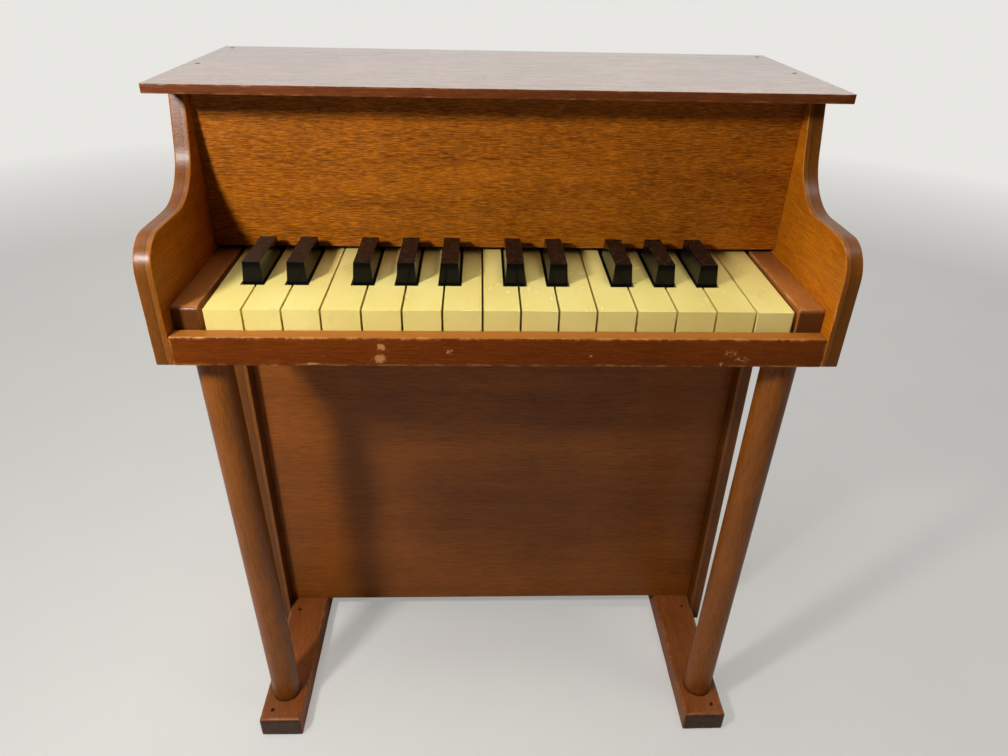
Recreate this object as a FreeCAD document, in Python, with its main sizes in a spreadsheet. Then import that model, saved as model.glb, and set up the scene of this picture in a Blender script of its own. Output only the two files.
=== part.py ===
import FreeCAD, Part
import Sketcher
import operator
import os
from types import SimpleNamespace

# Toy upright piano with twenty-five keys. A plywood case on two runners and two round legs holds a
# keyboard of moulded keys on one steel pivot rod. Each key's tail lifts a hammer, and the hammer strikes
# a steel chime rod that hangs from a cast block on the back panel.
# X runs to the player's right, Y to the back and Z up. The origin is on the floor under the case's middle.

# Driving sizes in millimetres
SIZES = {
    # Side panels: an arm below, a hollow cheek above it and a narrow lower part
    "case_depth": 235.0,
    "side_thickness": 10.0,
    "arm_underside_height": 357.0,
    "arm_height": 76.5,
    "nose_radius": 21.0,
    "cheek_setback": 53.0,
    "cheek_run": 37.0,
    "cheek_rise": 29.0,
    "cheek_lean": 9.0,
    "cheek_straight_height": 35.7,
    "knee_edge_setback": 120.0,
    # Lid and panels
    "lid_thickness": 5.4,
    "lid_side_overhang": 3.0,
    "lid_setback": 66.0,
    "front_panel_recess": 5.0,
    "front_panel_thickness": 6.0,
    "front_panel_gap": 3.0,
    "knee_panel_recess": 12.0,
    "knee_panel_thickness": 5.0,
    "back_panel_thickness": 5.0,
    # Runners and legs
    "runner_width": 34.0,
    "runner_thickness": 19.5,
    "leg_diameter": 22.2,
    "leg_setback": 29.4,
    "leg_splay": 4.7,
    # Key bed, key slip and the blocks beside the end keys
    "bed_thickness": 8.0,
    "bed_chime_gap": 18.0,
    "slip_thickness": 10.0,
    "slip_height": 19.0,
    "block_width": 15.9,
    "block_gap": 2.35,
    # Keys
    "white_key_pitch": 23.5,
    "key_side_gap": 1.3,
    "key_front_gap": 1.2,
    "key_travel_room": 9.0,
    "key_thickness": 16.0,
    "key_front_drop": 1.5,
    "key_tail_length": 44.5,
    "key_rod_diameter": 4.0,
    "black_key_setback": 49.1,
    "black_key_rise": 12.8,
    "black_key_side_gap": 0.5,
    "black_key_front_gap": 3.1,
    "black_key_rear_gap": 7.4,
    "black_key_taper": 0.95,
    "black_key_slope": 0.8,
    # Hammers, measured from their pivot rod
    "hammer_rod_diameter": 3.0,
    "hammer_pivot_rise": 6.0,
    "hammer_lift_gap": 0.4,
    "hammer_butt_width": 8.0,
    "hammer_butt_size": 12.0,
    "hammer_butt_gap": 3.0,
    "hammer_arm_overlap": 4.0,
    "hammer_arm_thickness": 5.0,
    "hammer_shank_width": 5.0,
    "hammer_shank_thickness": 4.0,
    "hammer_strike_height": 50.0,
    "hammer_head_height": 12.0,
    "hammer_head_depth": 14.0,
    "hammer_head_offset": 1.0,
    "hammer_chime_distance": 27.5,
    # Rails that the key tails and the hammers rest on
    "tail_rail_depth": 12.0,
    "tail_rail_inset": 4.0,
    "rest_rail_depth": 10.0,
    "rest_rail_height": 12.0,
    "rest_rail_drop": 3.0,
    # Chime block and rods
    "chime_block_depth": 14.0,
    "chime_block_height": 18.0,
    "chime_block_drop": 8.0,
    "chime_rod_diameter": 3.0,
    "chime_rod_seat": 10.0,
    "longest_chime": 160.0,
    # Fits and cuts
    "rest_clearance": 0.3,
    "running_clearance": 0.05,
    "rod_seat_depth": 5.0,
    "cut_overrun": 1.0,
}

# The keyboard runs over two octaves, from C to C
NOTES = ("c", "c_sharp", "d", "d_sharp", "e", "f", "f_sharp", "g", "g_sharp", "a", "a_sharp", "b")
OCTAVES = 2
WHITE_NOTES = [note for note in NOTES if not note.endswith("sharp")]
WHITE_KEYS = OCTAVES * len(WHITE_NOTES) + 1
# The tails share an octave evenly, so the three white keys over the tails of C to E are a little narrower
# than the four over those of F to B
GROUPS = ((0, 3, NOTES[:5]), (5, 4, NOTES[5:]))

OPERATIONS = {"+": operator.add, "-": operator.sub, "*": operator.mul, "/": operator.truediv}


class Size:
    """A length that keeps its number and the spreadsheet expression that gives it."""

    def __init__(self, text, number):
        self.text = text
        self.number = number

    def __add__(self, other):
        return combine(self, "+", other)

    def __radd__(self, other):
        return combine(other, "+", self)

    def __sub__(self, other):
        return combine(self, "-", other)

    def __mul__(self, other):
        return combine(self, "*", other)

    def __rmul__(self, other):
        return combine(other, "*", self)

    def __truediv__(self, other):
        return combine(self, "/", other)

    def __neg__(self):
        return combine(-1, "*", self)


def as_size(value):
    """The value itself if it is a Size, or a Size for a plain number."""
    if isinstance(value, Size):
        return value
    return Size(f"({value})", value)


def combine(left, sign, right):
    """A Size for the sum, difference, product or quotient of two values."""
    left = as_size(left)
    right = as_size(right)
    number = OPERATIONS[sign](left.number, right.number)
    return Size(f"({left.text} {sign} {right.text})", number)


doc = FreeCAD.newDocument("toy_piano")
sheet = doc.addObject("Spreadsheet::Sheet", "Sizes")
for row, (alias, number) in enumerate(SIZES.items(), start=1):
    sheet.set(f"A{row}", alias)
    sheet.set(f"B{row}", str(number))
    sheet.setAlias(f"B{row}", alias)
doc.recompute()
size = SimpleNamespace(**{alias: Size(f"Sizes.{alias}", number) for alias, number in SIZES.items()})

# Planes and axes that several pieces share
front = -(size.case_depth / 2)
rear = size.case_depth / 2
key_span_half = size.white_key_pitch * WHITE_KEYS / 2
block_inner = key_span_half + size.block_gap
inner = block_inner + size.block_width
outer = inner + size.side_thickness
arm_top = size.arm_underside_height + size.arm_height
cheek_top = arm_top + size.cheek_rise
side_top = cheek_top + size.cheek_straight_height
cheek_top_setback = size.cheek_setback + size.cheek_run + size.cheek_lean
front_panel_front = front + cheek_top_setback + size.front_panel_recess
front_panel_rear = front_panel_front + size.front_panel_thickness
back_panel_front = rear - size.back_panel_thickness
bed_top = size.arm_underside_height + size.bed_thickness
slip_rear = front + size.slip_thickness
key_front = slip_rear + size.key_front_gap
key_underside = bed_top + size.key_travel_room
key_top = key_underside + size.key_thickness
cap_front = front + size.black_key_setback
chime_y = back_panel_front - size.chime_block_depth / 2
hammer_pivot_y = chime_y - size.hammer_chime_distance
hammer_pivot_z = key_top + size.hammer_pivot_rise
hammer_butt_front = hammer_pivot_y - size.hammer_butt_size / 2
hammer_head_middle = hammer_pivot_z + size.hammer_strike_height
hammer_head_bottom = hammer_head_middle - size.hammer_head_height / 2
key_tail = hammer_butt_front - size.hammer_butt_gap
key_pivot_y = key_tail - size.key_tail_length
key_pivot_z = key_top - size.key_thickness / 2


def bind(piece, values):
    """Tie properties of a piece to their expressions in the sheet."""
    for path, value in values.items():
        piece.setExpression(path, as_size(value).text)


def box(name, x_span, y_span, z_span):
    """Block between two planes in each direction."""
    piece = doc.addObject("Part::Box", name)
    for length, place, (low, high) in zip(("Length", "Width", "Height"), "xyz", (x_span, y_span, z_span)):
        bind(piece, {length: as_size(high) - low, f"Placement.Base.{place}": low})
    return piece


def bar_along_x(name, diameter, x_span, y, z):
    """Round bar across the case."""
    piece = doc.addObject("Part::Cylinder", name)
    piece.Placement.Rotation = FreeCAD.Rotation(FreeCAD.Vector(0, 1, 0), 90)
    low, high = x_span
    bind(piece, {"Radius": diameter / 2, "Height": as_size(high) - low})
    bind(piece, {"Placement.Base.x": low, "Placement.Base.y": y, "Placement.Base.z": z})
    return piece


def bar_along_z(name, diameter, x, y, z_span):
    """Upright round bar."""
    piece = doc.addObject("Part::Cylinder", name)
    low, high = z_span
    bind(piece, {"Radius": diameter / 2, "Height": as_size(high) - low})
    bind(piece, {"Placement.Base.x": x, "Placement.Base.y": y, "Placement.Base.z": low})
    return piece


def leaning_bar(name, diameter, foot, head):
    """Round bar with level ends, from the middle of its foot to the middle of its head."""
    ends = []
    for end, (x, y, z) in (("foot", foot), ("head", head)):
        ring = doc.addObject("Part::Circle", f"{name}_{end}")
        bind(ring, {"Radius": diameter / 2})
        bind(ring, {"Placement.Base.x": x, "Placement.Base.y": y, "Placement.Base.z": z})
        ends.append(ring)
    piece = doc.addObject("Part::Loft", name)
    piece.Sections = ends
    piece.Solid = True
    piece.Ruled = True
    return piece


def tapered_block(name, z_span, low_x, low_y, high_x, high_y):
    """Block whose lower and upper faces have their own spans in X and Y."""
    piece = doc.addObject("Part::Wedge", name)
    # The wedge tapers along its own Y, so it is turned to stand upright: its Z is then the case's -Y
    piece.Placement.Rotation = FreeCAD.Rotation(FreeCAD.Vector(1, 0, 0), 90)
    bind(piece, {"Ymin": z_span[0], "Ymax": z_span[1]})
    bind(piece, {"Xmin": low_x[0], "Xmax": low_x[1], "Zmin": -low_y[1], "Zmax": -low_y[0]})
    bind(piece, {"X2min": high_x[0], "X2max": high_x[1], "Z2min": -high_y[1], "Z2max": -high_y[0]})
    return piece


def sloped_block(name, x_span, y_span, front_z, rear_z):
    """Block whose front and rear faces have their own heights."""
    piece = doc.addObject("Part::Wedge", name)
    bind(piece, {"Ymin": y_span[0], "Ymax": y_span[1]})
    for end, (low, high) in (("", front_z), ("2", rear_z)):
        bind(piece, {f"X{end}min": x_span[0], f"X{end}max": x_span[1], f"Z{end}min": low, f"Z{end}max": high})
    return piece


def cut(name, base, tool):
    """Base with the tool's shape taken away."""
    piece = doc.addObject("Part::Cut", name)
    piece.Base = base
    piece.Tool = tool
    return piece


def join(name, pieces):
    """One solid made of several."""
    piece = doc.addObject("Part::MultiFuse", name)
    piece.Shapes = pieces
    piece.Refine = True
    return piece


def group(name, pieces):
    """Separate solids that share one name."""
    piece = doc.addObject("Part::Compound", name)
    piece.Links = pieces
    return piece


def mirrored(name, piece):
    """Copy of a piece on the other side of the case's middle."""
    copy = doc.addObject("Part::Mirroring", name)
    copy.Source = piece
    copy.Normal = FreeCAD.Vector(1, 0, 0)
    return copy


def pair(name, piece):
    """A piece and its mirror image as two solids under one name."""
    return group(name, [piece, mirrored(f"{name}_left", piece)])


def draw_side_outline(sketch):
    """Closed outline of a side panel, with the arm's rounded nose and the hollow cheek above it."""
    corners = (
        (0, size.arm_underside_height),
        (0, arm_top - size.nose_radius),
        (size.nose_radius, arm_top),
        (size.cheek_setback, arm_top),
        (size.cheek_setback + size.cheek_run, cheek_top),
        (cheek_top_setback, side_top),
        (size.case_depth, side_top),
        (size.case_depth, 0),
        (size.knee_edge_setback, 0),
        (size.knee_edge_setback, size.arm_underside_height),
    )
    nose, cheek = 1, 3
    start_point, end_point, centre_point = 1, 2, 3
    points = [FreeCAD.Vector(as_size(across).number, as_size(up).number, 0) for across, up in corners]
    # The cheek leaves the arm level, so its centre is straight above its first corner
    cheek_radius = (SIZES["cheek_run"] ** 2 + SIZES["cheek_rise"] ** 2) / (2 * SIZES["cheek_rise"])
    centres = {
        nose: points[nose + 1] - FreeCAD.Vector(0, SIZES["nose_radius"], 0),
        cheek: points[cheek] + FreeCAD.Vector(0, cheek_radius, 0),
    }
    radii = {nose: SIZES["nose_radius"], cheek: cheek_radius}
    ends = []
    for index, start in enumerate(points):
        end = points[(index + 1) % len(points)]
        if index not in centres:
            edge = sketch.addGeometry(Part.LineSegment(start, end))
            ends.append((edge, start_point, end_point))
            continue
        # An arc runs anticlockwise, so the convex nose is drawn from its second corner to its first
        first, second = (end, start) if index == nose else (start, end)
        circle = Part.Circle(centres[index], FreeCAD.Vector(0, 0, 1), radii[index])
        arc = Part.ArcOfCircle(circle, circle.parameter(first), circle.parameter(second))
        edge = sketch.addGeometry(arc)
        forwards = (edge, start_point, end_point)
        backwards = (edge, end_point, start_point)
        ends.append(backwards if index == nose else forwards)
    for index, (edge, first, last) in enumerate(ends):
        next_edge, next_first, _ = ends[(index + 1) % len(ends)]
        sketch.addConstraint(Sketcher.Constraint("Coincident", edge, last, next_edge, next_first))
    origin, vertical_axis, horizontal_axis = (-1, 1), -2, -1
    for (across, up), (edge, first, _) in zip(corners, ends):
        for kind, value, axis in (("DistanceX", across, vertical_axis), ("DistanceY", up, horizontal_axis)):
            if isinstance(value, Size):
                number = sketch.addConstraint(Sketcher.Constraint(kind, *origin, edge, first, value.number))
                bind(sketch, {f"Constraints[{number}]": value})
            else:
                sketch.addConstraint(Sketcher.Constraint("PointOnObject", edge, first, axis))
    nose_edge = ends[nose][0]
    number = sketch.addConstraint(Sketcher.Constraint("Radius", nose_edge, SIZES["nose_radius"]))
    bind(sketch, {f"Constraints[{number}]": size.nose_radius})
    cheek_edge = ends[cheek][0]
    sketch.addConstraint(Sketcher.Constraint("Vertical", cheek_edge, centre_point, cheek_edge, start_point))


def side_board():
    """Right side panel as one board, padded outwards from its inner face."""
    body = doc.addObject("PartDesign::Body", "side_board")
    sketch = body.newObject("Sketcher::SketchObject", "side_outline")
    plane = next(feature for feature in body.Origin.OriginFeatures if feature.Role == "YZ_Plane")
    sketch.AttachmentSupport = [(plane, "")]
    sketch.MapMode = "FlatFace"
    draw_side_outline(sketch)
    pad = body.newObject("PartDesign::Pad", "side_pad")
    pad.Profile = sketch
    bind(pad, {"Length": size.side_thickness})
    bind(body, {"Placement.Base.x": inner, "Placement.Base.y": front})
    return body


def side_panels():
    """Both sides, each with blind holes that hold the ends of the two pivot rods."""
    seats = []
    for name, diameter, y, z in pivot_rods():
        hole = diameter + 2 * size.running_clearance
        span = (inner - size.cut_overrun, inner + size.rod_seat_depth)
        seats.append(bar_along_x(f"{name}_seat", hole, span, y, z))
    drilled = cut("side_panel_right", side_board(), join("rod_seats", seats))
    return pair("side_panels", drilled)


def pivot_rods():
    """Name, diameter, Y and Z of the rods that the keys and the hammers turn on."""
    key_rod = ("key_rod", size.key_rod_diameter, key_pivot_y, key_pivot_z)
    hammer_rod = ("hammer_rod", size.hammer_rod_diameter, hammer_pivot_y, hammer_pivot_z)
    return key_rod, hammer_rod


def lid():
    """Thin top board, nailed to the sides and standing out past them."""
    edge = outer + size.lid_side_overhang
    y_span = (front + size.lid_setback, rear)
    return box("lid", (-edge, edge), y_span, (side_top, side_top + size.lid_thickness))


def front_panel():
    """Upper panel behind the keys, under the lid and just clear of the key tops."""
    y_span = (front_panel_front, front_panel_rear)
    return box("front_panel", (-inner, inner), y_span, (key_top + size.front_panel_gap, side_top))


def knee_panel():
    """Lower panel, set back between the sides, from the runners up to the key bed."""
    y = front + size.knee_edge_setback + size.knee_panel_recess
    z_span = (size.runner_thickness, size.arm_underside_height)
    return box("knee_panel", (-inner, inner), (y, y + size.knee_panel_thickness), z_span)


def back_panel():
    """Back of the case, which carries the chime block and sounds with it."""
    return box("back_panel", (-inner, inner), (back_panel_front, rear), (size.runner_thickness, side_top))


def legs_and_runners():
    """Two runners on the floor inside the sides, each with a round leg that leans out to the key bed."""
    runner = box("runner", (inner - size.runner_width, inner), (front, rear), (0, size.runner_thickness))
    foot_x = inner - size.runner_width / 2
    y = front + size.leg_setback
    foot = (foot_x, y, size.runner_thickness)
    head = (foot_x + size.leg_splay, y, size.arm_underside_height)
    leg = leaning_bar("leg", size.leg_diameter, foot, head)
    pieces = [runner, mirrored("runner_left", runner), leg, mirrored("leg_left", leg)]
    return group("legs_and_runners", pieces)


def key_slip_and_blocks():
    """Strip across the front of the key bed, and a block beside each end key."""
    slip_top = size.arm_underside_height + size.slip_height
    slip = box("key_slip", (-inner, inner), (front, slip_rear), (size.arm_underside_height, slip_top))
    block = box("key_block", (block_inner, inner), (key_front, front_panel_rear), (bed_top, key_top))
    return group("key_slip_and_blocks", [slip, block, mirrored("key_block_left", block)])


def key_bed_and_rails():
    """Board under the keys, the rail that their tails rest on and the rail that the hammers lean on."""
    y_span = (slip_rear, chime_y - size.bed_chime_gap)
    bed = box("key_bed", (-inner, inner), y_span, (size.arm_underside_height, bed_top))
    tail_rail_rear = key_tail - size.tail_rail_inset
    y_span = (tail_rail_rear - size.tail_rail_depth, tail_rail_rear)
    tail_rail = box("tail_rail", (-inner, inner), y_span, (bed_top, key_underside - size.rest_clearance))
    rest_rear = hammer_pivot_y - size.hammer_shank_thickness / 2 - size.rest_clearance
    rest_top = hammer_head_bottom - size.rest_rail_drop
    y_span = (rest_rear - size.rest_rail_depth, rest_rear)
    rest_rail = box("rest_rail", (-inner, inner), y_span, (rest_top - size.rest_rail_height, rest_top))
    return group("key_bed_and_rails", [bed, tail_rail, rest_rail])


def bored(name, solid, diameter, x_span, y, z):
    """A lever with a running hole for its pivot rod."""
    low, high = x_span
    span = (low - size.cut_overrun, high + size.cut_overrun)
    hole = bar_along_x(f"{name}_bore", diameter + 2 * size.running_clearance, span, y, z)
    return cut(name, solid, hole)


def white_key(name, x_span, tail_span):
    """Full-width head in front of the black keys and a narrower tail behind, on the key rod.
    The top falls a little from the front panel to the key's front."""
    notch = cap_front - size.black_key_front_gap
    notch_share = (front_panel_front - notch) / (front_panel_front - key_front)
    front_z = (key_underside, key_top - size.key_front_drop)
    notch_z = (key_underside, key_top - size.key_front_drop * notch_share)
    level_z = (key_underside, key_top)
    head = sloped_block(f"{name}_head", x_span, (key_front, notch), front_z, notch_z)
    neck = sloped_block(f"{name}_neck", tail_span, (notch, front_panel_front), notch_z, level_z)
    tail = box(f"{name}_tail", tail_span, (front_panel_front, key_tail), level_z)
    lever = join(f"{name}_lever", [head, neck, tail])
    return bored(name, lever, size.key_rod_diameter, x_span, key_pivot_y, key_pivot_z)


def black_key(name, slot_span):
    """Narrow lever with a raised, tapered cap in front of the front panel, on the key rod."""
    left, right = slot_span
    x_span = (left + size.black_key_side_gap, right - size.black_key_side_gap)
    top_x = (x_span[0] + size.black_key_taper, x_span[1] - size.black_key_taper)
    y_span = (cap_front, front_panel_front - size.black_key_rear_gap)
    top_y = (y_span[0] + size.black_key_slope, y_span[1] - size.black_key_slope)
    lever = box(f"{name}_lever", x_span, (cap_front, key_tail), (key_underside, key_top))
    cap_z = (key_top, key_top + size.black_key_rise)
    cap = tapered_block(f"{name}_cap", cap_z, x_span, y_span, top_x, top_y)
    whole = join(f"{name}_whole", [lever, cap])
    return bored(name, whole, size.key_rod_diameter, x_span, key_pivot_y, key_pivot_z)


def hammer(name, x):
    """Butt on the hammer rod, an arm over the key's tail, and a shank that carries the head."""
    y = hammer_pivot_y
    z = hammer_pivot_z
    underside = key_top + size.hammer_lift_gap
    half_butt = size.hammer_butt_size / 2
    butt_x = (x - size.hammer_butt_width / 2, x + size.hammer_butt_width / 2)
    shank_x = (x - size.hammer_shank_width / 2, x + size.hammer_shank_width / 2)
    head_z = (hammer_head_bottom, hammer_head_middle + size.hammer_head_height / 2)
    head_centre = y + size.hammer_head_offset
    head_y = (head_centre - size.hammer_head_depth / 2, head_centre + size.hammer_head_depth / 2)
    shank_y = (y - size.hammer_shank_thickness / 2, y + size.hammer_shank_thickness / 2)
    arm_z = (underside, underside + size.hammer_arm_thickness)
    arm_y = (key_tail - size.hammer_arm_overlap, hammer_butt_front)
    butt = box(f"{name}_butt", butt_x, (hammer_butt_front, y + half_butt), (underside, z + half_butt))
    arm = box(f"{name}_arm", butt_x, arm_y, arm_z)
    shank = box(f"{name}_shank", shank_x, shank_y, (z + half_butt, head_z[0]))
    head = box(f"{name}_head", butt_x, head_y, head_z)
    whole = join(f"{name}_whole", [butt, arm, shank, head])
    return bored(name, whole, size.hammer_rod_diameter, butt_x, y, z)


def key_places():
    """Note, edges of the key and edges of its tail, from the lowest key up, in white-key widths."""
    places = []
    left_end_share = -WHITE_KEYS / 2
    slot_share = len(WHITE_NOTES) / len(NOTES)
    for octave in range(OCTAVES):
        for first_slot, whites, notes in GROUPS:
            group_share = left_end_share + octave * len(WHITE_NOTES) + first_slot * slot_share
            head_share = len(notes) * slot_share / whites
            for slot, note in enumerate(notes):
                tail_shares = (group_share + slot * slot_share, group_share + (slot + 1) * slot_share)
                white_share = group_share + slot // 2 * head_share
                head_shares = None if note.endswith("sharp") else (white_share, white_share + head_share)
                places.append((note, head_shares, tail_shares))
    # The top C has no black key beside it, so its tail is as wide as its head
    last_shares = (-left_end_share - 1, -left_end_share)
    places.append((NOTES[0], last_shares, last_shares))
    return places


def span_of(shares):
    """Span between two edges given in white-key widths."""
    low_share, high_share = shares
    return low_share * size.white_key_pitch, high_share * size.white_key_pitch


def inside_gap(shares):
    """Span between two edges given in white-key widths, less half a gap at each."""
    low, high = span_of(shares)
    half_gap = size.key_side_gap / 2
    return low + half_gap, high - half_gap


def middle(shares):
    """Centre of two edges given in white-key widths."""
    return sum(shares) / 2 * size.white_key_pitch


def keys_and_hammers():
    """Every key with its hammer, numbered from the left."""
    pieces = []
    for number, (note, head_shares, tail_shares) in enumerate(key_places(), start=1):
        name = f"key_{number:02d}_{note}"
        if head_shares:
            pieces.append(white_key(name, inside_gap(head_shares), inside_gap(tail_shares)))
        else:
            pieces.append(black_key(name, span_of(tail_shares)))
        pieces.append(hammer(f"hammer_{number:02d}", middle(tail_shares)))
    return pieces


def chime_block_and_rods():
    """Cast block on the back panel with a chime rod under each hammer's strike, and the two pivot rods."""
    block_front = back_panel_front - size.chime_block_depth
    block_top = side_top - size.chime_block_drop
    block_bottom = block_top - size.chime_block_height
    seat_top = block_bottom + size.chime_rod_seat
    y_span = (block_front, back_panel_front)
    casting = box("casting", (-key_span_half, key_span_half), y_span, (block_bottom, block_top))
    sockets = []
    rods = []
    for index, (_, _, tail_shares) in enumerate(key_places()):
        x = middle(tail_shares)
        # A chime's length falls with the square root of its pitch, so it halves over two octaves
        octaves_up_share = index / len(NOTES)
        length_share = 2 ** (-octaves_up_share / 2)
        tip = block_bottom - length_share * size.longest_chime
        socket_span = (block_bottom - size.cut_overrun, seat_top)
        socket = size.chime_rod_diameter + 2 * size.running_clearance
        sockets.append(bar_along_z(f"socket_{index + 1:02d}", socket, x, chime_y, socket_span))
        rod_span = (tip, seat_top)
        rods.append(bar_along_z(f"chime_{index + 1:02d}", size.chime_rod_diameter, x, chime_y, rod_span))
    block = cut("chime_block", casting, join("sockets", sockets))
    rod_end = inner + size.rod_seat_depth
    for name, diameter, y, z in pivot_rods():
        rods.append(bar_along_x(name, diameter, (-rod_end, rod_end), y, z))
    return [block, group("chime_and_pivot_rods", rods)]


pieces = [side_panels(), lid(), front_panel(), knee_panel(), back_panel(), legs_and_runners()]
pieces += [key_slip_and_blocks(), key_bed_and_rails()]
pieces += keys_and_hammers()
pieces += chime_block_and_rods()
doc.recompute()

for item in doc.Objects:
    if "Invalid" in item.State or "Error" in item.State:
        raise RuntimeError(f"{item.Label} failed to recompute")
for piece in pieces:
    if piece.Shape.isNull() or not piece.Shape.isValid():
        raise RuntimeError(f"{piece.Label} has no valid shape")

os.makedirs("parts", exist_ok=True)
for piece in pieces:
    piece.Shape.exportStep(f"parts/{piece.Label}.step")
print(f"{len(pieces)} sub-parts written")
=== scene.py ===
import bmesh
import bpy
import math
from mathutils import Matrix, Vector, noise


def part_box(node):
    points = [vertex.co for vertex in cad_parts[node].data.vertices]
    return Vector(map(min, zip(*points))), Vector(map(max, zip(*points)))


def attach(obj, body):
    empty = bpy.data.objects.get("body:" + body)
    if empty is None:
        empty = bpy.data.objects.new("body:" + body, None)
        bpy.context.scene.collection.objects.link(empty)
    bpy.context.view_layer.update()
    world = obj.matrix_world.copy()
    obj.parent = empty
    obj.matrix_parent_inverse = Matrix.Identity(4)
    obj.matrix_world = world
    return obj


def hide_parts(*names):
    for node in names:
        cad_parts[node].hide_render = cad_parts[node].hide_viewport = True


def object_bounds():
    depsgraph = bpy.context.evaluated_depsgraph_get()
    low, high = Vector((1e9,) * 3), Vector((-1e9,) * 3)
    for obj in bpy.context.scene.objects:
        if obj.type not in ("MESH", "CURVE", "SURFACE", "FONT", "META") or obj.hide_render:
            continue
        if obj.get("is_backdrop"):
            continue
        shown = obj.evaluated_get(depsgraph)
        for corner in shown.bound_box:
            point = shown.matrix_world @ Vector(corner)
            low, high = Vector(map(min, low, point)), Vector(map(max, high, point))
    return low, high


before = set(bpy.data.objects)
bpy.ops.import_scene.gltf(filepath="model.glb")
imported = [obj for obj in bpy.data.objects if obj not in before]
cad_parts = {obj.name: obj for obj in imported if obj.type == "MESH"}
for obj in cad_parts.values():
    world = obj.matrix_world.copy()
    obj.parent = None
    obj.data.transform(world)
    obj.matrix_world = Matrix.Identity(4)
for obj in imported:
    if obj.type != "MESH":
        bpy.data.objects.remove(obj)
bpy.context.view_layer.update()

# Side panels: two boards of plywood, sawn to a rounded arm in front and a hollow cheek above it.
# They are stained amber and lacquered, with painted shade on the inner faces below the keys, and the sawn
# edges show the plies.
# All the other boards of the case are glued and nailed between them or on top of them.
MM = 0.001
ARM_TOP = 433.5 * MM
NOSE_RADIUS = 21.0 * MM
CHEEK_START = 53.0 * MM
CHEEK_RUN = 37.0 * MM
CHEEK_RISE = 29.0 * MM
CHEEK_LEAN = 9.0 * MM
KNEE_EDGE = 120.0 * MM
SHARP_CORNER = math.radians(38)
side_low, side_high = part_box("side_panels")
inner_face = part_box("front_panel")[1].x
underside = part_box("key_slip_and_blocks")[0].z


def arc(centre, radius, start, end, steps):
    """Points on an arc from one angle to another, in degrees."""
    points = []
    for step in range(steps + 1):
        angle = math.radians(start + (end - start) * step / steps)
        points.append((centre[0] + radius * math.cos(angle), centre[1] + radius * math.sin(angle)))
    return points


def edge_walk(outline, corner, step):
    """Closely spaced points round an outline, its sharp corners sanded to a small radius.
    Each comes with its inward direction, the radius it lies on and the way into its corner."""
    straight = 0.7
    spots = [Vector(point) for point in outline]
    if sum(spot.cross(ahead) for spot, ahead in zip(spots, spots[1:] + spots[:1])) < 0:
        spots.reverse()
    walk = []
    for i, spot in enumerate(spots):
        before = (spot - spots[i - 1]).normalized()
        after = (spots[(i + 1) % len(spots)] - spot).normalized()
        first = Vector((-before.y, before.x))
        last = Vector((-after.y, after.x))
        bisector = (first + last) / (1 + first.dot(last))
        if before.dot(after) > straight:
            walk.append((spot, bisector, math.inf, bisector))
            continue
        bend = corner if before.cross(after) > 0 else -corner
        radius = bend if bend > 0 else math.inf
        for share in (0.0, 0.25, 0.5, 0.75, 1.0):
            inward = first.lerp(last, share).normalized()
            walk.append((spot + bisector * bend - inward * bend, inward, radius, bisector))
    result = []
    for i, entry in enumerate(walk):
        run = walk[(i + 1) % len(walk)][0] - entry[0]
        parts = max(1, round(run.length / step))
        side = Vector((-run.y, run.x)).normalized()
        result.append(entry)
        result += [(entry[0] + run * part / parts, side, math.inf, side) for part in range(1, parts)]
    return result


def skin(bm, rings):
    """Faces between rings of corners, closed at both ends."""
    count = len(rings[0])
    for ring, ahead in zip(rings, rings[1:]):
        for i in range(count):
            j = (i + 1) % count
            bm.faces.new((ring[i], ring[j], ahead[j], ahead[i]))
    bm.faces.new(rings[0])
    bm.faces.new(rings[-1])


def piece_from(bm, name):
    """Object of a finished mesh, smooth but for its real corners."""
    bmesh.ops.recalc_face_normals(bm, faces=bm.faces)
    for face in bm.faces:
        face.smooth = True
    mesh = bpy.data.meshes.new(name)
    bm.to_mesh(mesh)
    bm.free()
    mesh.set_sharp_from_angle(angle=SHARP_CORNER)
    piece = bpy.data.objects.new(name, mesh)
    bpy.context.scene.collection.objects.link(piece)
    return piece


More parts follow.
